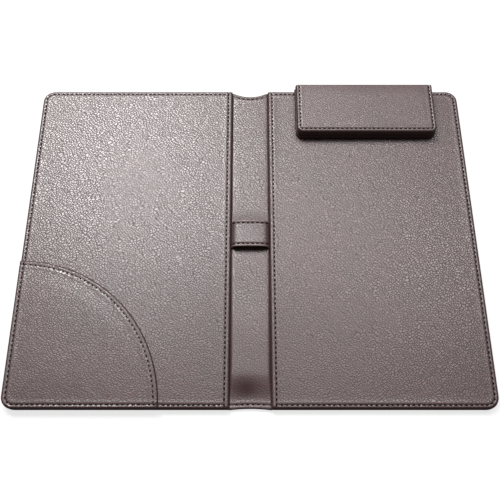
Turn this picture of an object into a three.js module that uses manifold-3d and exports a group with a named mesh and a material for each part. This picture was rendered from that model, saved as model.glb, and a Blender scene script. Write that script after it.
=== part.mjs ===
// A cheque presenter: a small book-type folder that lies open with its inside up.
// Two stiff leathered covers are joined by a soft gutter with a pen loop. The left cover has a
// corner pocket, and the right cover has a magnetic clip along its back edge.
// Millimetres. X runs to the right, Y away from the guest, Z up, and Z = 0 is the table.
import * as THREE from "three";
import { mergeVertices } from "three/addons/utils/BufferGeometryUtils.js";
import Module from "manifold-3d";

const wasm = await Module();
wasm.setup();

// Covers
const coverWidth = 139;
const coverDepth = 230;
const cornerRadius = 8;
const foldCornerRadius = 1.5;
const skinThickness = 1.2;
const boardThickness = 2.4;
const linerThickness = 1.2;
const skinEdgeRound = 1;
const linerEdgeRound = 0.5;
const boardMargin = 5;
const hemWidth = 6;
const boardCornerRadius = 3;

// Gutter between the covers
const gutterWidth = 26;
const spineSkinThickness = 1.1;
const spineLiningThickness = 1.1;
const backSag = 3.5;
const frontSag = 0.8;

// Pen loop across the gutter
const loopLength = 19;
const loopPlaceY = 0;
const loopRise = 5.8;
// Below 1 the arch is flatter on top and steeper at its ends than an ellipse.
const loopRoundness = 0.8;
const loopThickness = 1.2;
const loopFootWidth = 3;
const loopEdgeGap = 0.1;

// Corner pocket on the left cover
const pocketRadius = 96;
const pocketThickness = 1;
const pocketGap = 0.5;
const pocketSeamWidth = 4;

// Magnetic clip on the right cover
const clipWidth = 99;
const clipDepth = 40;
const clipCornerRadius = 4.5;
const clipEdgeRound = 1;
const jawMargin = 0.6;
const jawPlateThickness = 2.2;
const jawLeatherThickness = 1.2;
const flapLiningThickness = 1;
const flapPlateThickness = 3.2;
const flapLeatherThickness = 1.4;
const clipPlateMargin = 5;
const clipPlateCornerRadius = 2;
const magnetRadius = 7;
const magnetCount = 3;
const magnetPitch = 32;

// Seams
const stitchInset = 2.6;
const hemStitchInset = 3;
const grooveWidth = 0.9;
const grooveDepth = 0.35;

// Clearances
const fitClearance = 0.3;
const foldGap = 0.3;
const closedGap = 0.2;

// Steps that round corners and arcs are drawn with
const cornerSteps = 6;
const roundSteps = 3;
const arcSteps = 48;
const magnetSteps = 32;

// Heights worked out from the layers
const boardTop = skinThickness + boardThickness;
const coverTop = boardTop + linerThickness;
const spineTop = spineSkinThickness + spineLiningThickness;
const jawHeight = jawPlateThickness + jawLeatherThickness;
const flapPocketTop = flapLiningThickness + flapPlateThickness;
const flapHeight = flapPocketTop + flapLeatherThickness;
const coverBack = coverDepth / 2;
const clipCentre = coverWidth / 2;

const leather = makeMaterial("leather", 0x3f2c2b, 0.5, 0);
const lining = makeMaterial("lining", 0x4a3433, 0.55, 0);
const board = makeMaterial("board", 0x8d8274, 0.95, 0);
const steel = makeMaterial("steel", 0x9a9c9f, 0.4, 1);
const magnet = makeMaterial("magnet", 0x55575a, 0.35, 1);

function makeMaterial(name, color, roughness, metalness) {
  return new THREE.MeshStandardMaterial({ name, color, roughness, metalness, flatShading: true });
}

function makeMesh(name, solid, material) {
  const { vertProperties, triVerts, numProp } = solid.getMesh();
  const geometry = new THREE.BufferGeometry();
  geometry.setAttribute("position", new THREE.BufferAttribute(vertProperties, numProp));
  geometry.setIndex(new THREE.BufferAttribute(triVerts, 1));
  geometry.computeVertexNormals();
  const mesh = new THREE.Mesh(geometry, material.clone());
  mesh.name = name;
  return mesh;
}

function toSolid(geometry) {
  geometry.deleteAttribute("normal");
  geometry.deleteAttribute("uv");
  const merged = mergeVertices(geometry);
  const triVerts = new Uint32Array(merged.index.array);
  const vertProperties = merged.attributes.position.array;
  return new wasm.Manifold(new wasm.Mesh({ numProp: 3, vertProperties, triVerts }));
}

// A rectangle whose four corners have radii of their own
function outline(area, radii) {
  const corners = [
    [area.right, area.front, radii.rightFront],
    [area.right, area.back, radii.rightBack],
    [area.left, area.back, radii.leftBack],
    [area.left, area.front, radii.leftFront],
  ];
  const middle = new THREE.Vector2((area.left + area.right) / 2, (area.front + area.back) / 2);
  const points = [];
  corners.forEach(([x, y, radius], quarter) => {
    const centreX = x - Math.sign(x - middle.x) * radius;
    const centreY = y - Math.sign(y - middle.y) * radius;
    const steps = radius > 0 ? cornerSteps : 0;
    for (let step = 0; step <= steps; step++) {
      const angle = ((quarter - 1 + step / Math.max(steps, 1)) * Math.PI) / 2;
      points.push(
        new THREE.Vector2(centreX + radius * Math.cos(angle), centreY + radius * Math.sin(angle)),
      );
    }
  });
  return new THREE.Shape(points);
}

function inset(area, outer, fold) {
  return {
    left: area.left + fold,
    right: area.right - outer,
    front: area.front + outer,
    back: area.back - outer,
  };
}

function slab(low, high) {
  const reach = 4 * (coverWidth + coverDepth + gutterWidth);
  return toSolid(new THREE.BoxGeometry(reach, reach, high - low).translate(0, 0, (low + high) / 2));
}

// A flat piece of one thickness. Its upper or its lower edge may be rounded.
function plate(shape, low, high, roundTop = 0, roundBottom = 0) {
  const round = Math.max(roundTop, roundBottom);
  const start = roundBottom > 0 ? low : low - 2 * round;
  const end = roundTop > 0 ? high : high + 2 * round;
  const geometry = new THREE.ExtrudeGeometry(shape, {
    depth: end - start - 2 * round,
    bevelEnabled: round > 0,
    bevelThickness: round,
    bevelSize: round,
    bevelOffset: -round,
    bevelSegments: roundSteps,
  });
  geometry.translate(0, 0, start + round);
  return round > 0 ? toSolid(geometry).intersect(slab(low, high)) : toSolid(geometry);
}

// A cut along a closed line of stitches, below the surface at height top
function grooveAlong(area, radii, top) {
  const half = grooveWidth / 2;
  const wider = Object.fromEntries(
    Object.entries(radii).map(([corner, radius]) => [corner, radius + half]),
  );
  const narrower = Object.fromEntries(
    Object.entries(radii).map(([corner, radius]) => [corner, Math.max(radius - half, 0)]),
  );
  const outer = plate(outline(inset(area, -half, -half), wider), top - grooveDepth, top + 1);
  const inner = plate(outline(inset(area, half, half), narrower), top - 1, top + 2);
  return outer.subtract(inner);
}

// A cover is drawn with its fold line at x = 0 and its free edge at x = coverWidth.
const coverArea = { left: 0, right: coverWidth, front: -coverBack, back: coverBack };
const coverRadii = {
  leftFront: foldCornerRadius,
  leftBack: foldCornerRadius,
  rightFront: cornerRadius,
  rightBack: cornerRadius,
};

function boardOutline(growth) {
  const area = inset(coverArea, boardMargin - growth, hemWidth - growth);
  const radius = boardCornerRadius + growth;
  return outline(area, {
    leftFront: radius,
    leftBack: radius,
    rightFront: radius,
    rightBack: radius,
  });
}

function stitchRadii(inner) {
  return {
    leftFront: inner,
    leftBack: inner,
    rightFront: cornerRadius - stitchInset,
    rightBack: cornerRadius - stitchInset,
  };
}

// The outside skin, turned up around the board so that its edge closes the cover all round
function outerCover() {
  const whole = plate(outline(coverArea, coverRadii), 0, boardTop, 0, skinEdgeRound);
  return whole.subtract(plate(boardOutline(fitClearance), skinThickness, boardTop + 1));
}

function coverBoard() {
  return plate(boardOutline(0), skinThickness, boardTop);
}

function coverLiner() {
  const sheet = plate(outline(coverArea, coverRadii), boardTop, coverTop, linerEdgeRound);
  const stitched = inset(coverArea, stitchInset, hemStitchInset);
  return sheet.subtract(grooveAlong(stitched, stitchRadii(grooveWidth / 2), coverTop));
}

function quarterDisc(radius, low, high) {
  const shape = new THREE.Shape();
  shape.absarc(coverWidth, coverBack, radius, Math.PI, 1.5 * Math.PI, false);
  shape.lineTo(coverWidth, coverBack);
  const geometry = new THREE.ExtrudeGeometry(shape, {
    depth: high - low,
    bevelEnabled: false,
    curveSegments: arcSteps,
  });
  return toSolid(geometry.translate(0, 0, low));
}

// The pocket is sewn down along the two free edges of the cover, and open along its arc.
function cornerPocket() {
  const sheetLow = coverTop + pocketGap;
  const sheetHigh = sheetLow + pocketThickness;
  const edge = plate(outline(coverArea, coverRadii), coverTop, sheetHigh, linerEdgeRound);
  const hollow = outline(inset(coverArea, pocketSeamWidth, 0), stitchRadii(0));
  const folded = edge.subtract(plate(hollow, coverTop - 1, sheetLow));
  const sheet = folded.intersect(quarterDisc(pocketRadius, 0, sheetHigh + 1));
  const stitched = inset(coverArea, stitchInset, hemStitchInset);
  const edgeGroove = grooveAlong(stitched, stitchRadii(grooveWidth / 2), sheetHigh);
  const arcRadius = pocketRadius - hemStitchInset;
  const grooveLow = sheetHigh - grooveDepth;
  const arcGroove = quarterDisc(arcRadius + grooveWidth / 2, grooveLow, sheetHigh + 1).subtract(
    quarterDisc(arcRadius - grooveWidth / 2, grooveLow - 1, sheetHigh + 2),
  );
  const insideSeam = outline(inset(coverArea, stitchInset, 0), stitchRadii(0));
  const arcInside = arcGroove.intersect(plate(insideSeam, grooveLow - 1, sheetHigh + 2));
  return sheet.subtract(edgeGroove).subtract(arcInside);
}

// The gutter strip sags a little at both ends, so its end edges curve inwards.
function spineOutline() {
  const half = gutterWidth / 2 - foldGap;
  const shape = new THREE.Shape();
  shape.moveTo(-half, -coverBack);
  shape.quadraticCurveTo(0, -coverBack + 2 * frontSag, half, -coverBack);
  shape.lineTo(half, coverBack);
  shape.quadraticCurveTo(0, coverBack - 2 * backSag, -half, coverBack);
  return shape;
}

function spineSkin() {
  return plate(spineOutline(), 0, spineSkinThickness);
}

function spineLining() {
  return plate(spineOutline(), spineSkinThickness, spineTop);
}

function archPoint(half, rise, angle) {
  const across = Math.cos(angle);
  const up = Math.max(Math.sin(angle), 0);
  return new THREE.Vector2(
    half * Math.sign(across) * Math.abs(across) ** loopRoundness,
    rise * up ** loopRoundness,
  );
}

// A band that arches from one fold to the other, with its ends turned in and sewn down
function penLoop() {
  const half = gutterWidth / 2 - foldGap - loopEdgeGap;
  const footInside = half - loopThickness - loopFootWidth;
  const innerHalf = half - loopThickness;
  const innerRise = loopRise - loopThickness;
  const footAngle = Math.asin((loopThickness / innerRise) ** (1 / loopRoundness));
  const points = [];
  for (let step = 0; step <= arcSteps; step++) {
    const angle = (step / arcSteps) * Math.PI;
    points.push(archPoint(half, loopRise, angle));
  }
  points.push(new THREE.Vector2(-footInside, 0));
  points.push(new THREE.Vector2(-footInside, loopThickness));
  for (let step = 0; step <= arcSteps; step++) {
    const angle = Math.PI - footAngle - (step / arcSteps) * (Math.PI - 2 * footAngle);
    points.push(archPoint(innerHalf, innerRise, angle));
  }
  points.push(new THREE.Vector2(footInside, loopThickness));
  points.push(new THREE.Vector2(footInside, 0));
  const geometry = new THREE.ExtrudeGeometry(new THREE.Shape(points), {
    depth: loopLength,
    bevelEnabled: false,
  });
  geometry.rotateX(Math.PI / 2);
  return toSolid(geometry.translate(0, loopPlaceY + loopLength / 2, spineTop));
}

// The clip's pieces are drawn from its hinge line: x = 0 is its middle and y = 0 its back edge.
const clipArea = { left: -clipWidth / 2, right: clipWidth / 2, front: -clipDepth, back: 0 };

function frontCorners(radius) {
  return { leftFront: radius, rightFront: radius, leftBack: 0, rightBack: 0 };
}

function grownClipArea(growth) {
  return {
    left: clipArea.left - growth,
    right: clipArea.right + growth,
    front: clipArea.front - growth,
    back: clipArea.back,
  };
}

function clipPlateOutline(growth) {
  const margin = clipPlateMargin - growth;
  const radius = clipPlateCornerRadius + growth;
  return outline(inset(clipArea, margin, margin), {
    leftFront: radius,
    leftBack: radius,
    rightFront: radius,
    rightBack: radius,
  });
}

// Leather over the lower jaw, with room for the keeper plate below it
function jawCover() {
  const radii = frontCorners(clipCornerRadius + jawMargin);
  const whole = plate(outline(grownClipArea(jawMargin), radii), 0, jawHeight, clipEdgeRound);
  return whole.subtract(plate(clipPlateOutline(fitClearance), -1, jawPlateThickness));
}

function jawPlate() {
  return plate(clipPlateOutline(0), 0, jawPlateThickness);
}

// Leather over the flap. The seam runs round three sides, and the back edge is a plain fold.
function flapCover() {
  const radii = frontCorners(clipCornerRadius);
  const shape = outline(clipArea, radii);
  const whole = plate(shape, flapLiningThickness, flapHeight, clipEdgeRound);
  const hollow = plate(clipPlateOutline(fitClearance), 0, flapPocketTop);
  const stitched = inset(clipArea, stitchInset, stitchInset);
  stitched.back = clipArea.back + stitchInset;
  const seam = grooveAlong(stitched, frontCorners(clipCornerRadius - stitchInset), flapHeight);
  return whole.subtract(hollow).subtract(seam);
}

function flapLining() {
  return plate(outline(clipArea, frontCorners(clipCornerRadius)), 0, flapLiningThickness);
}

function magnetPlace(index) {
  return new THREE.Vector2((index - (magnetCount - 1) / 2) * magnetPitch, -clipDepth / 2);
}

function magnetDisc(index, radius, low, high) {
  const place = magnetPlace(index);
  const geometry = new THREE.CylinderGeometry(radius, radius, high - low, magnetSteps);
  geometry.rotateX(Math.PI / 2);
  return toSolid(geometry.translate(place.x, place.y, (low + high) / 2));
}

// A stiff board in the flap, with a hole for each magnet
function flapBoard() {
  let made = plate(clipPlateOutline(0), flapLiningThickness, flapPocketTop);
  for (let index = 0; index < magnetCount; index++) {
    const hole = magnetDisc(index, magnetRadius + fitClearance, 0, flapHeight);
    made = made.subtract(hole);
  }
  return made;
}

function flapMagnet(index) {
  return magnetDisc(index, magnetRadius, flapLiningThickness, flapPocketTop);
}

function addCover(parent, side) {
  parent.add(makeMesh(`${side}_outer_cover`, outerCover(), leather));
  parent.add(makeMesh(`${side}_board`, coverBoard(), board));
  parent.add(makeMesh(`${side}_liner`, coverLiner(), lining));
}

function makeLeftCover() {
  const group = new THREE.Group();
  addCover(group, "left");
  group.add(makeMesh("corner_pocket", cornerPocket(), lining));
  group.position.x = -gutterWidth / 2;
  group.rotation.z = Math.PI;
  return group;
}

function makeSpine() {
  const group = new THREE.Group();
  group.add(makeMesh("spine_skin", spineSkin(), leather));
  group.add(makeMesh("spine_lining", spineLining(), lining));
  group.add(makeMesh("pen_loop", penLoop(), lining));
  return group;
}

function makeClipBase() {
  const group = new THREE.Group();
  group.add(makeMesh("clip_base_cover", jawCover(), leather));
  group.add(makeMesh("clip_base_plate", jawPlate(), steel));
  group.position.set(clipCentre, coverBack, coverTop);
  return group;
}

function makeClipFlap() {
  const group = new THREE.Group();
  group.add(makeMesh("clip_flap_cover", flapCover(), leather));
  group.add(makeMesh("clip_flap_lining", flapLining(), lining));
  group.add(makeMesh("clip_flap_board", flapBoard(), board));
  for (let index = 0; index < magnetCount; index++) {
    group.add(makeMesh(`clip_magnet_${index + 1}`, flapMagnet(index), magnet));
  }
  group.position.set(clipCentre, coverBack, coverTop + jawHeight + closedGap);
  return group;
}

function makeRightCover() {
  const group = new THREE.Group();
  addCover(group, "right");
  group.add(makeClipBase());
  group.add(makeClipFlap());
  group.position.x = gutterWidth / 2;
  return group;
}

const presenter = new THREE.Group();
presenter.name = "cheque_presenter";
presenter.add(makeLeftCover());
presenter.add(makeSpine());
presenter.add(makeRightCover());

export default presenter;
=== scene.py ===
"""The looks of a cheque presenter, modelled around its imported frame. Metres, in the frame's own place.

The flat leather pieces are height fields over a grid that follows each outline, so that rims, seam
channels, hems and the rise and fall of the hide are in the mesh. The pen loop and the strip behind the
clip are sections carried along a path. The grain is in the material.
"""
import math

import bpy
import numpy as np
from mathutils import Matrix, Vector


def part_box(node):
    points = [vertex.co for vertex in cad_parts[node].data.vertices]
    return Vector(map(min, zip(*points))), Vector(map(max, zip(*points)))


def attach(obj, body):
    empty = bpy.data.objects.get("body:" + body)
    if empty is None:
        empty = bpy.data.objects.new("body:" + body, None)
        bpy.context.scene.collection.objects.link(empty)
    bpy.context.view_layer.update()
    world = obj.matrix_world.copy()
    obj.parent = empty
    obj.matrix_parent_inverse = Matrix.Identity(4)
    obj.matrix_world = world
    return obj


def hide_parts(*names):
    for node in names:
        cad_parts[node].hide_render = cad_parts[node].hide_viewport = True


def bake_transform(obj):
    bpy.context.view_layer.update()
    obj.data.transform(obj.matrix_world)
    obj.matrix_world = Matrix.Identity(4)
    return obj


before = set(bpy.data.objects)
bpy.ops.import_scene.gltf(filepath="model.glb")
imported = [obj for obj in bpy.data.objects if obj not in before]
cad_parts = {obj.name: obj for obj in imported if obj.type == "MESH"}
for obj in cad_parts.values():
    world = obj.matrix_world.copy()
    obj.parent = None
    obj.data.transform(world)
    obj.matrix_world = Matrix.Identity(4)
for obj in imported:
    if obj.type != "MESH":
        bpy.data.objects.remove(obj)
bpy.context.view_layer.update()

MM = 0.001
TINY = 1e-6
HAIR = 0.01 * MM
UP = np.array([0.0, 0.0, 1.0])

# Places that the frame gives
LINER_LOW, LINER_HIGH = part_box("right_liner")
FOLD_X, EDGE_X, BACK_Y = LINER_LOW[0], LINER_HIGH[0], LINER_HIGH[1]
BOARD_TOP, COVER_TOP = LINER_LOW[2], LINER_HIGH[2]
LINING_LOW, LINING_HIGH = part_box("spine_lining")
SPINE_SKIN_TOP, SPINE_TOP = LINING_LOW[2], LINING_HIGH[2]
LOOP_LOW, LOOP_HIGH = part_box("pen_loop")
POCKET_LOW, POCKET_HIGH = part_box("corner_pocket")
JAW_LOW, JAW_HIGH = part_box("clip_base_cover")
FLAP_LOW, FLAP_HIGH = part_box("clip_flap_cover")
UNDER_LOW, UNDER_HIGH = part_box("clip_flap_lining")
BOARD_BOX_LOW, BOARD_BOX_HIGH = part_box("right_board")
COVER_WIDTH = EDGE_X - FOLD_X
POCKET_RADIUS = POCKET_HIGH[0] - POCKET_LOW[0]
LINER_THICKNESS = COVER_TOP - BOARD_TOP
LOOP_LENGTH = LOOP_HIGH[1] - LOOP_LOW[1]
LOOP_MIDDLE = (LOOP_HIGH[1] + LOOP_LOW[1]) / 2

# Outlines
CORNER = 8 * MM
FOLD_CORNER = 1.5 * MM
CLIP_CORNER = 4.5 * MM
JAW_CORNER = CLIP_CORNER + FLAP_LOW[0] - JAW_LOW[0]
BACK_SAG = 3.5 * MM
FRONT_SAG = 0.8 * MM
SKIN_THICKNESS = BOARD_BOX_LOW[2]
BOARD_MARGIN = EDGE_X - BOARD_BOX_HIGH[0]
HEM_WIDTH = BOARD_BOX_LOW[0] - FOLD_X

# Rims: how far in from an edge each one rounds off, and how far down the covers' own rim goes
RIM = 1.2 * MM
OUTER_RIM = 2.3 * MM
OUTER_RIM_DROP = LINER_THICKNESS * 0.95
SKIN_RIM = 1.6 * MM
SPINE_SKIN_RIM = 0.45 * MM
LINING_RIM = 0.5 * MM
POCKET_RIM = 0.9 * MM
POCKET_ARC_RIM = 0.7 * MM
CLIP_RIM = 1.8 * MM
CLIP_BACK_RIM = 0.9 * MM
JAW_RIM, JAW_UNDER_RIM = 1.1 * MM, 0.4 * MM
FLAP_LINING_RIM, FLAP_LINING_UNDER_RIM = 0.15 * MM, 0.6 * MM
RIBBON_RIM = 0.5 * MM

# Seams and thread
STITCH_INSET = 2.6 * MM
HEM_STITCH_INSET = 3 * MM
LOOP_STITCH_INSET = 2 * MM
CHANNEL_WIDTH = 0.5 * MM
CHANNEL_DEPTH = 0.27 * MM
PUFF = 0.14 * MM
STITCH_PITCH = 3.2 * MM
STITCH_LENGTH = 2.1 * MM
STITCH_SKEW = 0.06 * MM
STITCH_STATIONS = (-1.0, -0.82, -0.4, 0.0, 0.4, 0.82, 1.0)
THREAD_RADIUS = 0.55 * MM
THREAD_SIDES = 6
THREAD_HEIGHT, THREAD_PLUNGE = 0.16 * MM, 0.5 * MM
THREAD_REACH = 0.2 * MM
THREAD_FLATNESS = 0.8
OUTSIDE_THREAD_HEIGHT = 0.5 * MM

# Where the skin and the lining bend at a fold, measured from the gutter's middle
BEND_START = FOLD_X + 1 * MM
BEND_END = FOLD_X - 3 * MM

# Painted fields, by distance in from an edge: a worn line that is also a painted highlight on the rims'
# crests, and the painted shade of the rims
WORN_SHEEN_PLACE, WORN_SHEEN_WIDTH = 2.05 * MM, 0.3 * MM
RIM_SHADE_START, RIM_SHADE_FALL = 0.3 * MM, 1.3 * MM
FRONT_SHADE_START, FRONT_SHADE_FALL = 1.3 * MM, 0.7 * MM
SIDE_RIM_SHADE = 0.75

# How far in from its edges hide glued to a board rises and falls in full
FLAT_BORDER = 8 * MM

# The gutter's lining tucks down beside each fold
TUCK_WIDTH, TUCK_DEPTH = 0.7 * MM, 0.3 * MM

# The tray in the outside skin is larger than the board in it by this much on each side
TRAY_SLACK = 0.3 * MM
OUTSIDE_CHANNEL_SHARE = 0.8

# The pocket swells away from its edges, and stands off the liner inside its seam
POCKET_SOFT, POCKET_ARC_SOFT = 30 * MM, 14 * MM
POCKET_SWELL = 0.35 * MM
POCKET_OPEN_START, POCKET_OPEN_WIDTH = 4 * MM, 2 * MM
POCKET_SEAM_GAP, POCKET_GAP, POCKET_MORE_GAP = 0.05 * MM, 0.4 * MM, 0.3 * MM

# Mesh spacing
FINE = 0.3 * MM
BROAD = 1.6 * MM
PATH_STEP = 0.5 * MM
SHARP_ANGLE = math.radians(50)

# Colours, linear
HIDE = (0.118, 0.042, 0.04, 1)
HIDE_DARK = (0.03, 0.006, 0.007, 1)
# Wear, and also a painted highlight along the rims' crests
WORN_AND_SHEEN_COLOUR = (0.3, 0.2, 0.19, 1)
# Painted shade in the seams' grooves
SEAM_SHADE_COLOUR = (0.016, 0.007, 0.007, 1)
# Painted shade on the rims
RIM_SHADE_COLOUR = (0.03, 0.007, 0.009, 1)
THREAD_COLOUR = (0.006, 0.003, 0.004, 1)
THREAD_LIGHT = (0.016, 0.009, 0.009, 1)
BOARD_COLOURS = (0.22, 0.19, 0.15, 1), (0.34, 0.3, 0.24, 1)
STEEL_COLOURS = (0.45, 0.46, 0.47, 1), (0.6, 0.61, 0.62, 1)
MAGNET_COLOURS = (0.3, 0.31, 0.32, 1), (0.42, 0.43, 0.44, 1)
PAPER_FLOOR = (0.32, 0.32, 0.32, 1)

# The finish of leather: what the painted fields do, and how valleys and pebbles of the grain shine
WEAR_AND_SHEEN_SHARE = 0.3
SEAM_SHADE_SHARE = 0.3
RIM_SHADE_SHARE = 0.9
RIM_DULLNESS = 0.75
VALLEY_ROUGHNESS, PEBBLE_ROUGHNESS = 0.7, 0.37
SHADE_LOW, SHADE_HIGH = 0.88, 1.14
CLOUD_SCALE = 0.03
LEATHER_IOR = 1.7
LEATHER_SHEEN = 0.08

# Its grain, in cells of about the grain's size: pebbles longer than wide, bent by slow noise
GRAIN_BEND, GRAIN_BEND_SCALE = 4.5, 0.13
PEBBLE_SHARE, WALL_SHARE = 0.68, 0.6
VALLEY_EDGE, PEBBLE_EDGE = 0.02, 0.3
SWELL_SHARE, FINE_SHARE = 1.4, 0.12

# Stage: lamps have a place, a target, a size and watts
LAMPS = {
    "soft_box_left": ((-0.29, 0.58, 0.9), (-0.04, 0.02, 0), (0.46, 0.4), 10.8),
    "soft_box_right": ((0.33, 0.37, 0.9), (0.06, 0.02, 0), (0.5, 0.3), 3.0),
}

# The even light from around, and the floor: half its width, and its glow to the camera
AMBIENT = 0.07
FLOOR_HALF = 3.0
FLOOR_LIFT = 0.76

# The soft strip of the gutter stands off the table by a share of this: from about 0.4 at its back
# end to about 1.5 near its front. Of that share, one part is even, one grows forwards over the whole
# length, and one grows forwards from the middle.
GUTTER_RISE = 1.5 * MM
GUTTER_EVEN, GUTTER_SLOPE, GUTTER_FULLNESS = 0.4, 0.45, 0.7
GUTTER_SIDE_POWER = 16
GUTTER_FRONT_START, GUTTER_FRONT_FALL = 5 * MM, 17 * MM
GUTTER_FULL_LENGTH = 95 * MM

# The dent at its front end, and the painted shade in it
DENT_X, DENT_Y = -3 * MM, -104 * MM
DENT_WIDTH, DENT_LENGTH = 8 * MM, 7 * MM
DENT_DEPTH = 0.8 * MM
DENT_SHADE = 0.7

# The dip where the pen loop holds it down
LOOP_DIP = 0.7 * MM
LOOP_DIP_LENGTH = 5 * MM

# Pen loop: the arch is flatter on top and steeper at its ends than an ellipse, whose power is 1
LOOP_POWER = 0.42
LOOP_THICKNESS = 1.2 * MM
LOOP_THREAD_STEPS, LOOP_BARE_STEPS = 40, 8

# How far the leather swells over the clip's board, and over what distance from its edges
CLIP_CROWN = 0.45 * MM
CLIP_SOFT = 9 * MM

# The strip behind the clip: it starts under the base's foot, and ends short of the flap's top
CLIP_FOLD_THICKNESS = 0.5 * MM
CLIP_FOLD_INSET = 2 * MM
CLIP_FOLD_UNDER, CLIP_FOLD_SHORT = 1.5 * MM, 1.8 * MM
CLIP_FOLD_STEPS = 40

# The photograph's camera, from a fit to the seams: focal length in pixels of a 500-pixel image
IMAGE_PIXELS = 500
FOCAL_PIXELS = 633.6
SENSOR_WIDTH = 36
CAMERA_PLACE = (-0.0002, -0.1665, 0.3973)
CAMERA_TILT = math.radians(21.6)


# Heights

def rim(distance, width, height=None):
    """The drop of a quarter-round rim at a distance in from its edge, as high as wide unless told."""
    inside = np.clip(1 - distance / np.maximum(width, TINY), 0, 1)
    return (width if height is None else height) * (np.sqrt(1 - inside ** 2) - 1)


def ridge(distance, place, width):
    """A bell of height 1 around a place."""
    return np.exp(-(((distance - place) / width) ** 2))


def channel(distance, inset):
    """The cut of a seam, with the hide swelling a little on both sides of it."""
    cut = -CHANNEL_DEPTH * ridge(distance, inset, CHANNEL_WIDTH)
    swell = ridge(distance, inset - 1.3 * MM, 0.7 * MM) + ridge(distance, inset + 1.5 * MM, MM)
    return cut + PUFF * swell


def roll(x, y, amount=0.1 * MM):
    """The slow rise and fall of hide glued to a board."""
    waves = ((23.0, 41.0, 0.4), (-37.0, 29.0, 1.9), (61.0, -17.0, 3.1), (-19.0, -73.0, 5.2))
    return amount * sum(np.sin(x * a + y * b + c) for a, b, c in waves) / 2


def smooth(value):
    value = np.clip(value, 0, 1)
    return value * value * (3 - 2 * value)


def dent(x, y):
    """How far each point lies in the dent, from 0 to 1."""
    return np.exp(-(((x - DENT_X) / DENT_WIDTH) ** 2) - ((y - DENT_Y) / DENT_LENGTH) ** 2)


def gutter_rise(x, y):
    """The soft strip stands off the table, more so towards the front, and sinks at its front end."""
    across = 1 - np.clip(np.abs(x) / FOLD_X, 0, 1) ** GUTTER_SIDE_POWER
    front = smooth((y + BACK_Y - GUTTER_FRONT_START) / GUTTER_FRONT_FALL)
    forward = (BACK_Y - y) / (2 * BACK_Y)
    share = GUTTER_EVEN + GUTTER_SLOPE * forward
    share = share + GUTTER_FULLNESS * smooth(-y / GUTTER_FULL_LENGTH)
    behind_loop = ridge(y, LOOP_HIGH[1], LOOP_DIP_LENGTH)
    lift = GUTTER_RISE * across * front * share
    return lift - DENT_DEPTH * dent(x, y) - LOOP_DIP * behind_loop * across


# Grids

def spaced(low, high, step, low_rim=(), high_rim=()):
    """Coordinates from low to high, with close ones at the given distances from either end."""
    start = [low + d for d in low_rim] or [low]
    stop = [high - d for d in reversed(high_rim)] or [high]
    count = max(1, round((stop[0] - start[-1]) / step))
    middle = np.linspace(start[-1], stop[0], count + 1)[1:-1]
    return np.array([*start, *middle, *stop])


def rim_lines(radius, reach=5.5 * MM):
    """Distances in from an edge: an even arc over the rim, then close steps past the seam."""
    arc = [radius * (1 - math.cos(math.radians(a))) for a in (0, 18, 36, 54, 72, 90)]
    return arc + list(np.arange(radius + FINE, reach, FINE))


def round_corners(u, v, area, radii):
    """Moves grid points so that the grid's edge follows the rounded corners of its outline."""
    u, v = u.copy(), v.copy()
    left, right, front, back = area
    corners = ((left, front, -1, -1), (right, front, 1, -1), (right, back, 1, 1), (left, back, -1, 1))
    for (edge_u, edge_v, sign_u, sign_v), radius in zip(corners, radii):
        if radius <= 0:
            continue
        centre_u, centre_v = edge_u - sign_u * radius, edge_v - sign_v * radius
        a = sign_u * (u - centre_u) / radius
        b = sign_v * (v - centre_v) / radius
        inside = (a > 0) & (b > 0)
        ring = np.maximum(a, b)
        safe = np.where(ring > 0, ring, 1)
        angle = np.where(a >= b, b / safe, 2 - a / safe) * math.pi / 4
        u = np.where(inside, centre_u + sign_u * radius * ring * np.cos(angle), u)
        v = np.where(inside, centre_v + sign_v * radius * ring * np.sin(angle), v)
    return u, v


def new_piece(name, points, faces, material, fields=None):
    """An object from points and faces, with its painted fields and the place of each point at rest."""
    mesh = bpy.data.meshes.new(name)
    mesh.from_pydata([tuple(p) for p in points], [], [tuple(f) for f in faces])
    mesh.validate()
    mesh.polygons.foreach_set("use_smooth", [True] * len(mesh.polygons))
    mesh.set_sharp_from_angle(angle=SHARP_ANGLE)
    place = mesh.attributes.new("place", "FLOAT_VECTOR", "POINT")
    place.data.foreach_set("vector", np.asarray(points, np.float32).ravel())
    for field in ("wear_and_sheen", "seam", "rim"):
        values = (fields or {}).get(field, np.zeros(len(points)))
        layer = mesh.attributes.new(field, "FLOAT", "POINT")
        layer.data.foreach_set("value", np.asarray(values, np.float32))
    mesh.materials.append(material)
    piece = bpy.data.objects.new(name, mesh)
    bpy.context.scene.collection.objects.link(piece)
    return piece


def shell(name, place, top, bottom, keep, material, fields, mirrored=False):
    """A closed piece between two height fields over one grid. keep says which cells it has."""
    x, y = place
    rows, columns = x.shape
    number = np.full(x.shape, -1)
    used = np.zeros(x.shape, bool)
    for down in (0, 1):
        for along in (0, 1):
            used[down:rows - 1 + down, along:columns - 1 + along] |= keep
    number[used] = np.arange(used.sum())
    count = int(used.sum())
    points = np.concatenate([
        np.stack([x[used], y[used], top[used]], 1),
        np.stack([x[used], y[used], bottom[used]], 1),
    ])
    i, j = np.nonzero(keep)
    a, b = number[i, j], number[i + 1, j]
    c, d = number[i + 1, j + 1], number[i, j + 1]
    upper = np.stack([a, b, c, d], 1)
    lower = np.stack([d, c, b, a], 1) + count
    edges = {}
    for side in ((a, b), (b, c), (c, d), (d, a)):
        for p, q in zip(*side):
            if (q, p) in edges:
                del edges[(q, p)]
            else:
                edges[(p, q)] = True
    walls = [(p, p + count, q + count, q) for p, q in edges]
    faces = [tuple(f) for f in upper] + [tuple(f) for f in lower] + walls
    if mirrored:
        faces = [f[::-1] for f in faces]
    doubled = {key: np.concatenate([value[used], value[used]]) for key, value in fields.items()}
    return new_piece(name, points, faces, material, doubled)


def whole(grid):
    """A mask that keeps all cells of a grid."""
    return np.ones((grid.shape[0] - 1, grid.shape[1] - 1), bool)


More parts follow.
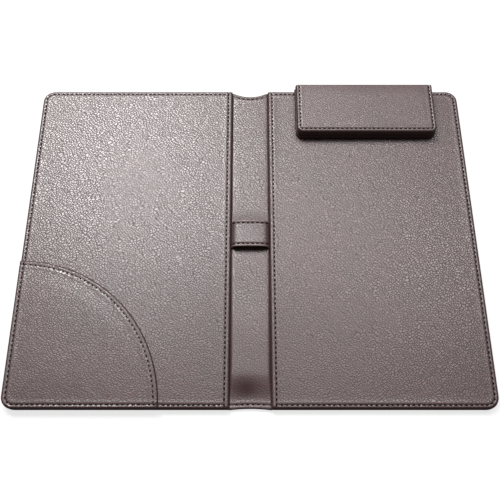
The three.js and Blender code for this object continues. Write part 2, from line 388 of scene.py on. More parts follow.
def wear_sheen_and_shade(edge, seams, front=None):
    """Painted fields: wear with a painted highlight on a rim's crest, painted shade in a seam's groove,
    and painted shade on the rim.

    The rim at the front, where that distance is given, gets wider and darker painted shade than the
    rest.
    """
    # Painted shade in the seams' grooves
    seam = sum(ridge(distance, inset, CHANNEL_WIDTH * 1.1) for distance, inset in seams)
    # Painted shade on the rims, wider and darker at the front
    rim_shade = SIDE_RIM_SHADE * (1 - smooth((edge - RIM_SHADE_START) / RIM_SHADE_FALL))
    if front is not None:
        rim_shade = np.maximum(rim_shade, 1 - smooth((front - FRONT_SHADE_START) / FRONT_SHADE_FALL))
    return {
        # Wear, and a painted highlight along the rim's crest
        "wear_and_sheen": ridge(edge, WORN_SHEEN_PLACE, WORN_SHEEN_WIDTH),
        "seam": np.clip(seam, 0, 1),
        "rim": rim_shade,
    }


# Covers, drawn from the fold outwards and set on their side by a sign

def cover_area():
    return (0, COVER_WIDTH, -BACK_Y, BACK_Y)


def make_liner(side, name, node, body, materials):
    """The inside sheet of a cover, with a rounded rim and a seam on each side."""
    u = spaced(0, COVER_WIDTH, BROAD, rim_lines(RIM), rim_lines(OUTER_RIM))
    v = spaced(-BACK_Y, BACK_Y, BROAD, rim_lines(OUTER_RIM), rim_lines(OUTER_RIM))
    grid_u, grid_v = np.meshgrid(u, v, indexing="ij")
    outer = np.minimum(COVER_WIDTH - grid_u, np.minimum(BACK_Y - grid_v, grid_v + BACK_Y))
    edge = np.minimum(outer, grid_u)
    radii = (FOLD_CORNER, CORNER, CORNER, FOLD_CORNER)
    place_u, place_v = round_corners(grid_u, grid_v, cover_area(), radii)
    x, y = side * (FOLD_X + place_u), place_v
    past_hem = np.clip((grid_u - HEM_STITCH_INSET) / MM, 0, 1)
    inner = np.clip(edge / FLAT_BORDER, 0, 1)
    top = COVER_TOP + rim(outer, OUTER_RIM, OUTER_RIM_DROP) + roll(x, y) * inner
    top = top + rim(grid_u, RIM) * np.clip(outer / OUTER_RIM, 0, 1)
    top = top + channel(outer, STITCH_INSET) * past_hem + channel(grid_u, HEM_STITCH_INSET)
    bottom = np.full_like(top, BOARD_TOP)
    # The liner's front rim gets the wider, darker painted shade
    fields = wear_sheen_and_shade(edge, ((grid_u, HEM_STITCH_INSET),), grid_v + BACK_Y)
    # Painted shade in the grooves of the outer seam too
    fields["seam"] = np.maximum(fields["seam"], ridge(outer, STITCH_INSET, CHANNEL_WIDTH) * past_hem)
    piece = shell(name, (x, y), top, bottom, whole(x), materials["lining"], fields, side < 0)
    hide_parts(node)
    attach(piece, body)


def gutter_ends(x, v):
    """The gutter strip's end edges curve inwards, more at the back than at the front."""
    across = 1 - np.clip(np.abs(x) / FOLD_X, 0, 1) ** 2
    share = np.clip(np.abs(v) / BACK_Y, 0, 1) ** 6
    return v - np.where(v > 0, BACK_SAG, -FRONT_SAG) * across * share


def gutter_columns():
    """Distances from the gutter's middle to the fold, close together where the strip bends."""
    inner = list(np.linspace(0, BEND_END, 11))
    return inner + list(np.linspace(BEND_END, FOLD_X, 10)[1:])


def make_skin(side, name, node, materials):
    """The outside sheet from the gutter's middle to the free edge, bending at the fold."""
    past_fold = [FOLD_X + 2 * HAIR, FOLD_X + 0.5 * MM]
    cover_u = spaced(BEND_START, EDGE_X, BROAD, (), rim_lines(SKIN_RIM, 6 * MM))
    u = np.array([*gutter_columns(), *past_fold, *cover_u])
    v = spaced(-BACK_Y, BACK_Y, BROAD, rim_lines(SKIN_RIM), rim_lines(SKIN_RIM))
    grid_u, grid_v = np.meshgrid(u, v, indexing="ij")
    ends = np.minimum(BACK_Y - grid_v, grid_v + BACK_Y)
    edge = np.minimum(EDGE_X - grid_u, ends)
    area = (0, EDGE_X, -BACK_Y, BACK_Y)
    place_u, place_v = round_corners(grid_u, grid_v, area, (0, CORNER, CORNER, 0))
    x, y = side * place_u, gutter_ends(place_u, place_v)
    on_cover = grid_u > FOLD_X + HAIR
    in_tray = (grid_u > FOLD_X + HEM_WIDTH - TRAY_SLACK) & (edge > BOARD_MARGIN - TRAY_SLACK)
    rise = gutter_rise(x, y)
    top = np.where(on_cover, np.where(in_tray, SKIN_THICKNESS, BOARD_TOP), SPINE_SKIN_TOP + rise)
    soft_rim = np.where(on_cover, SKIN_RIM, SPINE_SKIN_RIM)
    bottom = rise - rim(edge, soft_rim) - channel(edge, STITCH_INSET) * OUTSIDE_CHANNEL_SHARE
    bottom = np.maximum(bottom, 0)
    fields = wear_sheen_and_shade(edge, ((edge, STITCH_INSET),))
    piece = shell(name, (x, y), top, bottom, whole(x), materials["skin"], fields, side < 0)
    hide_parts(node, "spine_skin")
    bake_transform(piece)


def make_lining(side, name, materials):
    """One half of the soft strip that lines the gutter."""
    v = spaced(-BACK_Y, BACK_Y, BROAD, rim_lines(LINING_RIM), rim_lines(LINING_RIM))
    grid_u, grid_v = np.meshgrid(np.array(gutter_columns()), v, indexing="ij")
    ends = np.minimum(BACK_Y - grid_v, grid_v + BACK_Y)
    x, y = side * grid_u, gutter_ends(grid_u, grid_v)
    rise = gutter_rise(x, y)
    off_fold = np.clip((FOLD_X - grid_u) / TUCK_WIDTH, 0, 1)
    top = SPINE_TOP + rise + rim(ends, LINING_RIM) + channel(ends, STITCH_INSET)
    top = top - TUCK_DEPTH * (1 - off_fold) ** 2 + roll(x, y * 2, 0.12 * MM) * off_fold
    bottom = SPINE_SKIN_TOP + rise
    fields = wear_sheen_and_shade(ends, ((ends, STITCH_INSET),))
    # Painted shade in the dent at the gutter's front end
    fields["rim"] = np.maximum(fields["rim"], DENT_SHADE * dent(x, y))
    piece = shell(name, (x, y), top, bottom, whole(x), materials["lining"], fields, side < 0)
    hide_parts("spine_lining")
    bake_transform(piece)


# Corner pocket: a quarter disc whose corner is the cover's own

def make_pocket(materials):
    lines = spaced(0, POCKET_RADIUS + 1.4 * MM, 0.7 * MM, rim_lines(POCKET_RIM, 5 * MM))
    a, b = np.meshgrid(lines, lines, indexing="ij")
    edge = np.minimum(a, b)
    reach = POCKET_RADIUS + 2 * MM
    place_a, place_b = round_corners(a, b, (0, reach, 0, reach), (CORNER, 0, 0, 0))
    radius = np.hypot(place_a, place_b)
    inside = radius < POCKET_RADIUS - 5 * HAIR
    keep = inside[:-1, :-1] | inside[1:, :-1] | inside[:-1, 1:] | inside[1:, 1:]
    pull = np.minimum(1, POCKET_RADIUS / np.maximum(radius, MM))
    place_a, place_b = place_a * pull, place_b * pull
    from_arc = POCKET_RADIUS - np.hypot(place_a, place_b)
    x, y = place_a - EDGE_X, place_b - BACK_Y
    full = np.clip(edge / POCKET_SOFT, 0, 1) * np.clip(from_arc / POCKET_ARC_SOFT, 0, 1)
    top = POCKET_HIGH[2] + rim(edge, POCKET_RIM) + rim(from_arc, POCKET_ARC_RIM)
    top = top + channel(edge, STITCH_INSET) + channel(from_arc, HEM_STITCH_INSET)
    top = top + POCKET_SWELL * full + roll(x * 1.5, y * 1.5, 0.12 * MM) * full
    lifted = np.clip((edge - POCKET_OPEN_START) / POCKET_OPEN_WIDTH, 0, 1)
    bottom = COVER_TOP + POCKET_SEAM_GAP + lifted * (POCKET_GAP + POCKET_MORE_GAP * full)
    seams = ((edge, STITCH_INSET), (from_arc, HEM_STITCH_INSET))
    # The pocket's front rim gets the wider, darker painted shade
    fields = wear_sheen_and_shade(np.minimum(edge, from_arc), seams, b)
    piece = shell("corner_pocket_leather", (x, y), top, bottom, keep, materials["lining"], fields)
    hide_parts("corner_pocket")
    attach(piece, "left_cover")
    return piece


# Ribbons: a closed section carried along a path

def ribbon_section(width, thickness, inset):
    """A band's section, with turned edges and a seam channel near each.

    It gives the points' places along the band's width, out from its path, and in from its nearer edge.
    """
    lines = rim_lines(RIBBON_RIM, 3.2 * MM)
    along = spaced(-width / 2, width / 2, 1.2 * MM, lines, lines)
    edge = width / 2 - np.abs(along)
    drop = rim(edge, RIBBON_RIM)
    upper = thickness + drop + (channel(edge, inset) if inset else 0)
    lower = -drop
    return there_and_back(along, along), there_and_back(upper, lower), there_and_back(edge, edge)


def there_and_back(first, second):
    """One side of a closed section from end to end, then the other side without its two ends."""
    return np.concatenate([first, second[1:-1][::-1]])


def tube_faces(first, rings, sides):
    """Faces of a closed tube, whose rings of points follow each other from the first point on."""
    faces = []
    for ring in range(rings - 1):
        for k in range(sides):
            a = first + ring * sides + k
            b = first + ring * sides + (k + 1) % sides
            faces.append((a, b, b + sides, a + sides))
    last = first + (rings - 1) * sides
    faces.append(tuple(range(first, first + sides))[::-1])
    faces.append(tuple(range(last, last + sides)))
    return faces


def ribbon(name, path, normals, across, section, material, inset):
    """A closed piece swept along a path. inset is where its seams lie, or 0 where it has none."""
    along, out, edge = section
    points = [
        p + across * s + n * o
        for p, n in zip(path, normals)
        for s, o in zip(along, out)
    ]
    faces = tube_faces(0, len(path), len(along))
    from_side = np.tile(edge, len(path))
    fields = wear_sheen_and_shade(from_side, ((from_side, inset or -1),))
    # Wear, and a painted highlight, along the pen loop's hems; none on the clip's strip
    fields["wear_and_sheen"] = ridge(from_side, 0.8 * MM, 0.6 * MM) if inset else 0 * from_side
    fields["rim"] = 0 * from_side
    return new_piece(name, np.array(points), faces, material, fields)


def loop_curve(count, grow=0.0):
    """Half of the pen loop's arch from its foot at the fold to its crown: points and normals."""
    half = LOOP_HIGH[0] - grow
    rise = LOOP_HIGH[2] - SPINE_TOP - grow
    angles = np.linspace(0, math.pi / 2, 400)
    x = half * np.clip(np.cos(angles), 0, 1) ** LOOP_POWER
    z = SPINE_TOP + rise * np.sin(angles) ** LOOP_POWER
    curve = np.stack([x, z], 1)
    x, z = even_steps(curve, line_length(curve) / (count - 1)).T
    normals = np.stack([np.gradient(z), np.zeros(len(x)), -np.gradient(x)], 1)
    normals[0], normals[-1] = (1, 0, 0), (0, 0, 1)
    normals /= np.linalg.norm(normals, axis=1)[:, None]
    return np.stack([x, np.zeros(len(x)), z], 1), normals


def make_loop_half(side, name, materials):
    """The pen loop from its foot at one fold to its crown."""
    path, normals = loop_curve(26, LOOP_THICKNESS)
    mirror = np.array([side, 1, 1])
    path = path * mirror + np.array([0, LOOP_MIDDLE, 0])
    normals = normals * mirror
    section = ribbon_section(LOOP_LENGTH, LOOP_THICKNESS, LOOP_STITCH_INSET)
    across = np.array([0, side, 0])
    piece = ribbon(name, path, normals, across, section, materials["lining"], LOOP_STITCH_INSET)
    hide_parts("pen_loop")
    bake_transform(piece)


# Clip

def clip_shell(name, low, high, corner, rims, material, crown=0, sewn_top=True):
    """One layer of the clip, with two round corners in front and a plain fold behind."""
    top_rim, bottom_rim = rims
    width, depth = high[0] - low[0], high[1] - low[1]
    lines = rim_lines(max(top_rim, bottom_rim), 5 * MM)
    u = spaced(0, width, 1.5 * MM, lines, lines)
    v = spaced(0, depth, 1.5 * MM, lines, rim_lines(CLIP_BACK_RIM, 3 * MM))
    grid_u, grid_v = np.meshgrid(u, v, indexing="ij")
    sewn = np.minimum(np.minimum(grid_u, width - grid_u), grid_v)
    behind = depth - grid_v
    place_u, place_v = round_corners(grid_u, grid_v, (0, width, 0, depth), (corner, corner, 0, 0))
    x, y = low[0] + place_u, low[1] + place_v
    full = np.clip(sewn / CLIP_SOFT, 0, 1) * np.clip(behind / CLIP_SOFT, 0, 1)
    swell = crown * np.sin(full * math.pi / 2) + roll(x * 1.7, y * 1.7, 0.12 * MM) * full
    top = high[2] + rim(sewn, top_rim) + rim(behind, min(top_rim, CLIP_BACK_RIM)) + swell
    if sewn_top:
        top = top + channel(sewn, STITCH_INSET)
    bottom = low[2] - rim(sewn, bottom_rim)
    fields = wear_sheen_and_shade(sewn, ((sewn, STITCH_INSET if sewn_top else -MM),))
    return shell(name, (x, y), top, bottom, whole(x), material, fields)


def make_clip(materials):
    skin, lining = materials["skin"], materials["lining"]
    high = (FLAP_HIGH[0], FLAP_HIGH[1], FLAP_HIGH[2] - CLIP_CROWN)
    rims = (CLIP_RIM, 0)
    flap = clip_shell("clip_flap_leather", FLAP_LOW, high, CLIP_CORNER, rims, skin, CLIP_CROWN)
    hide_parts("clip_flap_cover")
    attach(flap, "clip_flap")
    rims = (FLAP_LINING_RIM, FLAP_LINING_UNDER_RIM)
    under = clip_shell(
        "clip_flap_underside", UNDER_LOW, UNDER_HIGH, CLIP_CORNER, rims, lining, sewn_top=False
    )
    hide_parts("clip_flap_lining")
    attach(under, "clip_flap")
    rims = (JAW_RIM, JAW_UNDER_RIM)
    jaw = clip_shell("clip_base_leather", JAW_LOW, JAW_HIGH, JAW_CORNER, rims, skin)
    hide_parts("clip_base_cover")
    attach(jaw, "right_cover")


def make_clip_fold(materials):
    """The strip of leather behind the clip that is its hinge."""
    width = FLAP_HIGH[0] - FLAP_LOW[0] - 2 * CLIP_FOLD_INSET
    low, high = JAW_LOW[2] - CLIP_FOLD_UNDER, FLAP_HIGH[2] - CLIP_FOLD_SHORT
    middle = (FLAP_HIGH[0] + FLAP_LOW[0]) / 2
    path = np.linspace((middle, FLAP_HIGH[1], low), (middle, FLAP_HIGH[1], high), CLIP_FOLD_STEPS)
    normals = np.tile(np.array([0.0, 1.0, 0.0]), (len(path), 1))
    section = ribbon_section(width, CLIP_FOLD_THICKNESS, 0)
    across = np.array([1, 0, 0])
    piece = ribbon("clip_fold_leather", path, normals, across, section, materials["skin"], 0)
    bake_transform(piece)


# Thread

def arc_points(centre, radius, first, last):
    """Ten points of an arc between two angles in degrees."""
    return [
        (centre[0] + radius * math.cos(angle), centre[1] + radius * math.sin(angle))
        for angle in np.radians(np.linspace(first, last, 10))
    ]


def three_sides(area, radius):
    """Points along the front, right and back of a rectangle whose two right corners are round."""
    left, right, front, back = area
    points = [(left, front)]
    points += arc_points((right - radius, front + radius), radius, -90, 0)
    points += arc_points((right - radius, back - radius), radius, 0, 90)
    points.append((left, back))
    return even_steps(np.array(points))


def lengths_along(points):
    """How far along a line each of its points lies."""
    return np.r_[0, np.cumsum(np.linalg.norm(np.diff(points, axis=0), axis=1))]


def even_steps(points, step=PATH_STEP):
    """The same line with points an even step apart."""
    lengths = lengths_along(points)
    count = max(2, round(lengths[-1] / step))
    at = np.linspace(0, lengths[-1], count)
    return np.stack([np.interp(at, lengths, points[:, k]) for k in range(points.shape[1])], 1)


def stitch_row(path, normals):
    """Points and faces of thread laid along a path, a stitch at each pitch.

    Each stitch tapers towards its two ends, plunges into the leather there and lies a little askew.
    """
    lengths = lengths_along(path)
    count = max(1, round(lengths[-1] / STITCH_PITCH))
    points, faces = [], []
    for index in range(count):
        middle = (index + 0.5) * lengths[-1] / count
        skew = STITCH_SKEW * math.sin(index * 2.4)
        faces += tube_faces(len(points), len(STITCH_STATIONS), THREAD_SIDES)
        for station in STITCH_STATIONS:
            at = middle + station * STITCH_LENGTH / 2
            up = at_length(normals, lengths, at)
            ahead = at_length(path, lengths, at + THREAD_REACH)
            behind = at_length(path, lengths, at - THREAD_REACH)
            side = np.cross(ahead - behind, up)
            side /= max(np.linalg.norm(side), 1e-9)
            height = THREAD_HEIGHT - THREAD_PLUNGE * station ** 4
            centre = at_length(path, lengths, at) + up * height + side * skew * station
            points += thread_ring(centre, side, up, THREAD_RADIUS * math.sqrt(1 - 0.75 * station ** 2))
    return points, faces


def at_length(values, lengths, length):
    """The value of a line's points, or of its normals, at a length along it."""
    return np.array([np.interp(length, lengths, values[:, k]) for k in range(3)])


def thread_ring(centre, side, up, radius):
    """Points around the thread, which lies a little flattened."""
    angles = [2 * math.pi * k / THREAD_SIDES for k in range(THREAD_SIDES)]
    return [
        centre + radius * (side * math.cos(angle) + up * THREAD_FLATNESS * math.sin(angle))
        for angle in angles
    ]


def sew(name, rows, body, material):
    """All the thread of some seams as one piece. Each row is a path and its normals."""
    points, faces = [], []
    for path, normals in rows:
        more, more_faces = stitch_row(path, normals)
        faces += [tuple(k + len(points) for k in face) for face in more_faces]
        points += more
    piece = new_piece(name, np.array(points), faces, material)
    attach(piece, body)
    return piece


def flat_row(points, height, up=1):
    """A seam at one height, whose thread faces up or, with -1, down."""
    path = np.column_stack([points, np.full(len(points), height)])
    return path, np.tile(up * UP, (len(points), 1))


def cover_seam(inset, corner, side, from_fold):
    """The seam round a cover's three free sides, starting at a distance from its fold."""
    area = (from_fold, COVER_WIDTH - inset, -BACK_Y + inset, BACK_Y - inset)
    path = three_sides(area, corner - inset)
    return np.column_stack([side * (FOLD_X + path[:, 0]), path[:, 1]])


def line_length(points):
    return float(np.linalg.norm(np.diff(points, axis=0), axis=1).sum())


def sew_covers(materials):
    floor = COVER_TOP - CHANNEL_DEPTH
    thread = materials["thread"]
    for side, name, body in ((1, "right", "right_cover"), (-1, "left", "left_cover")):
        seam = cover_seam(STITCH_INSET, CORNER, side, HEM_STITCH_INSET + 1.6 * MM)
        fold_x = side * (FOLD_X + HEM_STITCH_INSET)
        hem = even_steps(np.array([(fold_x, -BACK_Y + RIM), (fold_x, BACK_Y - RIM)]))
        rows = [flat_row(hem, floor)]
        hidden = POCKET_RADIUS + MM if side < 0 else 0
        rows += split_row(seam, lambda p: not under_pocket(p, hidden), floor)
        sew(f"{name}_liner_stitches", rows, body, thread)
        outside = flat_row(cover_seam(STITCH_INSET, CORNER, side, 0), OUTSIDE_THREAD_HEIGHT, -1)
        sew(f"{name}_skin_stitches", [outside], body, thread)


def under_pocket(point, radius):
    return math.hypot(point[0] + EDGE_X, point[1] + BACK_Y) < radius


def split_row(points, wanted, height):
    """Runs of a seam where wanted says yes, each as a row."""
    runs = [[]]
    for point in points:
        if wanted(point):
            runs[-1].append(point)
        else:
            runs.append([])
    return [flat_row(np.array(run), height) for run in runs if len(run) > 1]


def sew_pocket(materials):
    floor = POCKET_HIGH[2] - CHANNEL_DEPTH
    radius = POCKET_RADIUS - HEM_STITCH_INSET
    low = math.asin(STITCH_INSET / radius)
    angles = np.linspace(low, math.pi / 2 - low, 200)
    arc = np.column_stack([radius * np.cos(angles) - EDGE_X, radius * np.sin(angles) - BACK_Y])
    seam = cover_seam(STITCH_INSET, CORNER, -1, 0)
    rows = [flat_row(arc, floor)]
    rows += split_row(seam, lambda p: under_pocket(p, POCKET_RADIUS - 0.5 * MM), floor)
    return sew("pocket_stitches", rows, "left_cover", materials["thread"])


def clip_seam(low, high, corner):
    """The seam of a layer of the clip: down its left side, along its front and up its right side."""
    left, right = low[0] + STITCH_INSET, high[0] - STITCH_INSET
    front, back = low[1] + STITCH_INSET, high[1] - MM
    radius = corner - STITCH_INSET
    points = [(left, back)]
    points += arc_points((left + radius, front + radius), radius, 180, 270)
    points += arc_points((right - radius, front + radius), radius, 270, 360)
    points.append((right, back))
    return even_steps(np.array(points))


def sew_clip(materials):
    thread = materials["thread"]
    seam = clip_seam(FLAP_LOW, FLAP_HIGH, CLIP_CORNER)
    swell = CLIP_CROWN * (math.sin(STITCH_INSET / CLIP_SOFT * math.pi / 2) - 1)
    top = flat_row(seam, FLAP_HIGH[2] + swell - CHANNEL_DEPTH)
    sew("clip_flap_stitches", [top], "clip_flap", thread)
    jaw = flat_row(clip_seam(JAW_LOW, JAW_HIGH, JAW_CORNER), JAW_HIGH[2] - CHANNEL_DEPTH)
    sew("clip_base_stitches", [jaw], "right_cover", thread)


def sew_loop(materials):
    path, normals = loop_curve(LOOP_THREAD_STEPS)
    path = path - normals * CHANNEL_DEPTH
    full_path = over_the_crown(path[LOOP_BARE_STEPS:])
    full_normals = over_the_crown(normals[LOOP_BARE_STEPS:])
    rows = []
    for sign in (-1, 1):
        shift = np.array([0, LOOP_MIDDLE + sign * (LOOP_LENGTH / 2 - LOOP_STITCH_INSET), 0])
        rows.append((full_path + shift, full_normals))
    sew("pen_loop_stitches", rows, "spine", materials["thread"])


def over_the_crown(right):
    """A line up the right half of the pen loop, carried on down the left half."""
    return np.concatenate([right, right[::-1][1:] * np.array([-1, 1, 1])])


def sew_gutter(materials):
    rows = []
    across = np.linspace(-BEND_END, BEND_END, 40)
    for sign in (-1, 1):
        y = gutter_ends(across, np.full(len(across), sign * (BACK_Y - STITCH_INSET)))
        z = SPINE_TOP + gutter_rise(across, y) - CHANNEL_DEPTH
        rows.append((np.stack([across, y, z], 1), np.tile(UP, (len(across), 1))))
    sew("gutter_stitches", rows, "spine", materials["thread"])


# Materials

def feed(tree, socket, value):
    """Links an input to another node's socket, or else gives it a value."""
    if isinstance(value, bpy.types.NodeSocket):
        tree.links.new(value, socket)
    else:
        socket.default_value = value


def node(tree, kind, inputs=None, **settings):
    made = tree.nodes.new(kind)
    for key, value in settings.items():
        setattr(made, key, value)
    for key, value in (inputs or {}).items():
        feed(tree, made.inputs[key], value)
    return made


def scaled(tree, vector, factor):
    inputs = {0: vector, "Scale": factor}
    return node(tree, "ShaderNodeVectorMath", inputs, operation="SCALE").outputs[0]


def arithmetic(tree, operation, *values):
    return node(tree, "ShaderNodeMath", dict(enumerate(values)), operation=operation).outputs[0]


def noise(tree, place, scale, detail):
    return node(tree, "ShaderNodeTexNoise", {"Vector": place, "Scale": scale, "Detail": detail})


def new_material(name):
    material = bpy.data.materials.new(name)
    material.use_nodes = True
    tree = material.node_tree
    return material, tree, tree.nodes["Principled BSDF"]


def leather(name, turn, grain_size, grain_depth):
    """Embossed leatherette: long pebbles that lean one way, with slow changes of shade and gloss."""
    material, tree, shader = new_material(name)
    place = node(tree, "ShaderNodeAttribute", attribute_name="place").outputs["Vector"]
    in_mm = scaled(tree, place, 1 / MM)
    height, pebble = grain(tree, in_mm, turn, grain_size)
    bump = node(tree, "ShaderNodeBump", {"Height": height, "Strength": 1.0, "Distance": grain_depth})
    cloud = noise(tree, in_mm, CLOUD_SCALE, 3.0)
    shade = node(
        tree, "ShaderNodeMapRange",
        {"Value": cloud.outputs["Fac"], "From Min": 0.3, "From Max": 0.7,
         "To Min": SHADE_LOW, "To Max": SHADE_HIGH},
    ).outputs["Result"]
    base = mix_colour(tree, pebble, HIDE_DARK, HIDE)
    varied = scaled(tree, base, shade)
    # Wear, with a painted highlight along the rims' crests
    worn_and_sheen = mix_colour(tree, strength_of(tree, "wear_and_sheen", WEAR_AND_SHEEN_SHARE), varied, WORN_AND_SHEEN_COLOUR)
    # Painted shade in the seams' grooves
    sewn = mix_colour(tree, strength_of(tree, "seam", SEAM_SHADE_SHARE), worn_and_sheen, SEAM_SHADE_COLOUR)
    # Painted shade on the rims
    final = mix_colour(tree, strength_of(tree, "rim", RIM_SHADE_SHARE), sewn, RIM_SHADE_COLOUR)
    gloss = arithmetic(tree, "ADD", strength_of(tree, "rim", -RIM_DULLNESS), 1.0)
    rough = node(
        tree, "ShaderNodeMapRange",
        {"Value": pebble, "To Min": VALLEY_ROUGHNESS, "To Max": PEBBLE_ROUGHNESS},
    ).outputs["Result"]
    tree.links.new(final, shader.inputs["Base Color"])
    tree.links.new(rough, shader.inputs["Roughness"])
    tree.links.new(bump.outputs["Normal"], shader.inputs["Normal"])
    tree.links.new(gloss, shader.inputs["Specular IOR Level"])
    shader.inputs["IOR"].default_value = LEATHER_IOR
    shader.inputs["Sheen Weight"].default_value = LEATHER_SHEEN
    return material


def grain(tree, in_mm, turn, size):
    """Height and pebble mask of the embossed grain, which leans by turn and follows walls down."""
    bend = noise(tree, in_mm, GRAIN_BEND_SCALE, 2.0).outputs["Color"]
    offset = scaled(tree, bend, GRAIN_BEND)
    moved = node(tree, "ShaderNodeVectorMath", {0: in_mm, 1: offset}, operation="ADD").outputs[0]
    along = Vector((math.cos(turn) * PEBBLE_SHARE, math.sin(turn) * PEBBLE_SHARE, WALL_SHARE)) / size
    across = Vector((-math.sin(turn), math.cos(turn), -WALL_SHARE)) / size
    sheared = {"X": dot(tree, moved, along), "Y": dot(tree, moved, across)}
    flat = node(tree, "ShaderNodeCombineXYZ", sheared).outputs[0]
    cells = node(
        tree, "ShaderNodeTexVoronoi", {"Vector": flat, "Scale": 1.0, "Randomness": 0.85},
        feature="DISTANCE_TO_EDGE", voronoi_dimensions="2D",
    )
    pebble = node(
        tree, "ShaderNodeMapRange",
        {"Value": cells.outputs["Distance"], "From Min": VALLEY_EDGE, "From Max": PEBBLE_EDGE},
        interpolation_type="SMOOTHSTEP",
    ).outputs["Result"]
    swell = noise(tree, flat, 0.5, 1.0).outputs["Fac"]
    fine = noise(tree, in_mm, 3.5, 1.0).outputs["Fac"]
    height = arithmetic(tree, "MULTIPLY_ADD", swell, SWELL_SHARE, pebble)
    height = arithmetic(tree, "MULTIPLY_ADD", fine, FINE_SHARE, height)
    return height, pebble


def dot(tree, vector, direction):
    made = node(tree, "ShaderNodeVectorMath", {0: vector, 1: direction}, operation="DOT_PRODUCT")
    return made.outputs["Value"]


def strength_of(tree, field, most):
    """A painted field of the mesh, times the most that it may do."""
    value = node(tree, "ShaderNodeAttribute", attribute_name=field).outputs["Fac"]
    return arithmetic(tree, "MULTIPLY", value, most)


def mix_colour(tree, factor, first, second):
    mix = tree.nodes.new("ShaderNodeMix")
    mix.data_type = "RGBA"
    sockets = [s for s in mix.inputs if s.type == "RGBA"]
    feed(tree, mix.inputs["Factor"], factor)
    feed(tree, sockets[0], first)
    feed(tree, sockets[1], second)
    return next(s for s in mix.outputs if s.type == "RGBA")


def thread_material():
    material, tree, shader = new_material("waxed_thread")
    place = node(tree, "ShaderNodeAttribute", attribute_name="place").outputs["Vector"]
    twist = node(
        tree, "ShaderNodeTexWave", {"Vector": place, "Scale": 1400.0, "Distortion": 1.5},
        bands_direction="DIAGONAL",
    )
    relief = {"Height": twist.outputs["Fac"], "Strength": 0.5, "Distance": 0.1 * MM}
    bump = node(tree, "ShaderNodeBump", relief)
    colour = mix_colour(tree, twist.outputs["Fac"], THREAD_COLOUR, THREAD_LIGHT)
    tree.links.new(colour, shader.inputs["Base Color"])
    tree.links.new(bump.outputs["Normal"], shader.inputs["Normal"])
    shader.inputs["Roughness"].default_value = 0.6
    shader.inputs["Specular IOR Level"].default_value = 0.15
    return material


def speckled(name, colours, scale, roughness, metallic, depth):
    """A plain inner material with grain: greyboard, steel or magnet."""
    material, tree, shader = new_material(name)
    place = node(tree, "ShaderNodeTexCoord").outputs["Object"]
    specks = noise(tree, place, scale, 5.0).outputs["Fac"]
    colour = mix_colour(tree, specks, *colours)
    relief = {"Height": specks, "Strength": 0.4, "Distance": depth}
    bump = node(tree, "ShaderNodeBump", relief)
    tree.links.new(colour, shader.inputs["Base Color"])
    tree.links.new(bump.outputs["Normal"], shader.inputs["Normal"])
    shader.inputs["Roughness"].default_value = roughness
    shader.inputs["Metallic"].default_value = metallic
    return material


def floor_material():
    """Pale floor that is white to the camera where nothing shades it, and keeps the shadow."""
    material, tree, shader = new_material("pale_floor")
    shader.inputs["Base Color"].default_value = PAPER_FLOOR
    shader.inputs["Roughness"].default_value = 0.9
    seen = node(tree, "ShaderNodeLightPath").outputs["Is Camera Ray"]
    lift = arithmetic(tree, "MULTIPLY", seen, FLOOR_LIFT)
    shader.inputs["Emission Color"].default_value = (1, 1, 1, 1)
    tree.links.new(lift, shader.inputs["Emission Strength"])
    return material


def make_materials():
    return {
        "lining": leather("lining_leather", math.radians(42), 1.3, 0.05 * MM),
        "skin": leather("skin_leather", math.radians(60), 1.15, 0.042 * MM),
        "thread": thread_material(),
        "board": speckled("greyboard", BOARD_COLOURS, 900, 0.9, 0, 0.05 * MM),
        "steel": speckled("keeper_steel", STEEL_COLOURS, 600, 0.38, 1, 0.01 * MM),
        "magnet": speckled("magnet_nickel", MAGNET_COLOURS, 700, 0.32, 1, 0.01 * MM),
    }


def dress_nodes(materials):
    """Better materials for the hidden pieces that stay as they are."""
    wanted = {name: "board" for name in ("left_board", "right_board", "clip_flap_board")}
    wanted["clip_base_plate"] = "steel"
    wanted.update({name: "magnet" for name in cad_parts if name.startswith("clip_magnet")})
    for name, kind in wanted.items():
        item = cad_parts[name]
        item.material_slots[0].link = "OBJECT"
        item.material_slots[0].material = materials[kind]


# Stage

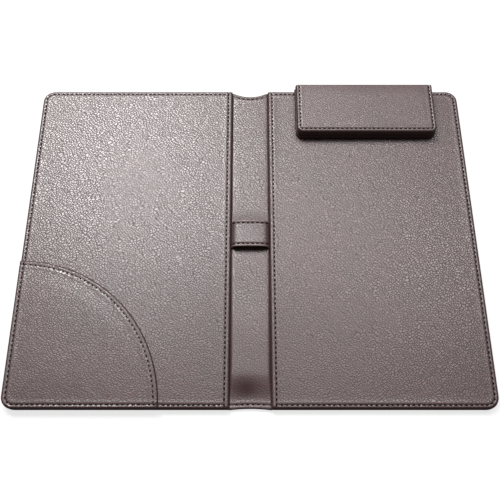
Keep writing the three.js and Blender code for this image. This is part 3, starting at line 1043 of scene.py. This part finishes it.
def make_light(name, place, target, size, power):
    lamp = bpy.data.lights.new(name, "AREA")
    lamp.shape = "RECTANGLE"
    lamp.size, lamp.size_y = size
    lamp.energy = power
    item = bpy.data.objects.new(name, lamp)
    item.location = place
    bpy.context.scene.collection.objects.link(item)
    item.rotation_euler = (Vector(target) - item.location).to_track_quat("-Z", "Y").to_euler()


def make_floor():
    mesh = bpy.data.meshes.new("floor")
    signs = ((-1, -1), (1, -1), (1, 1), (-1, 1))
    corners = [(a * FLOOR_HALF, b * FLOOR_HALF, 0) for a, b in signs]
    mesh.from_pydata(corners, [], [(0, 1, 2, 3)])
    mesh.materials.append(floor_material())
    floor = bpy.data.objects.new("floor", mesh)
    bpy.context.scene.collection.objects.link(floor)


def make_world():
    """White to the camera, and a faint even light on the object."""
    world = bpy.data.worlds.new("studio")
    bpy.context.scene.world = world
    world.use_nodes = True
    tree = world.node_tree
    background = tree.nodes["Background"]
    background.inputs["Color"].default_value = (1, 1, 1, 1)
    seen = node(tree, "ShaderNodeLightPath").outputs["Is Camera Ray"]
    strength = arithmetic(tree, "MULTIPLY_ADD", seen, 1 - AMBIENT, AMBIENT)
    tree.links.new(strength, background.inputs["Strength"])


def make_camera():
    camera = bpy.data.cameras.new("camera")
    camera.sensor_width = SENSOR_WIDTH
    camera.lens = FOCAL_PIXELS / IMAGE_PIXELS * SENSOR_WIDTH
    item = bpy.data.objects.new("camera", camera)
    item.location = CAMERA_PLACE
    item.rotation_euler = (CAMERA_TILT, 0, 0)
    bpy.context.scene.collection.objects.link(item)
    bpy.context.scene.camera = item
    bpy.context.scene.view_settings.view_transform = "Standard"


def main():
    materials = make_materials()
    for side, name, body in ((1, "right", "right_cover"), (-1, "left", "left_cover")):
        make_liner(side, f"{name}_liner_leather", f"{name}_liner", body, materials)
        make_skin(side, f"{name}_skin_leather", f"{name}_outer_cover", materials)
        make_lining(side, f"{name}_gutter_lining", materials)
        make_loop_half(side, f"{name}_loop_half", materials)
    pocket = make_pocket(materials)
    make_clip(materials)
    make_clip_fold(materials)
    sew_covers(materials)
    sew_pocket(materials)
    sew_clip(materials)
    sew_loop(materials)
    sew_gutter(materials)
    dress_nodes(materials)
    make_camera()
    make_floor()
    make_world()
    for name, (place, target, size, power) in LAMPS.items():
        make_light(name, place, target, size, power)


main()
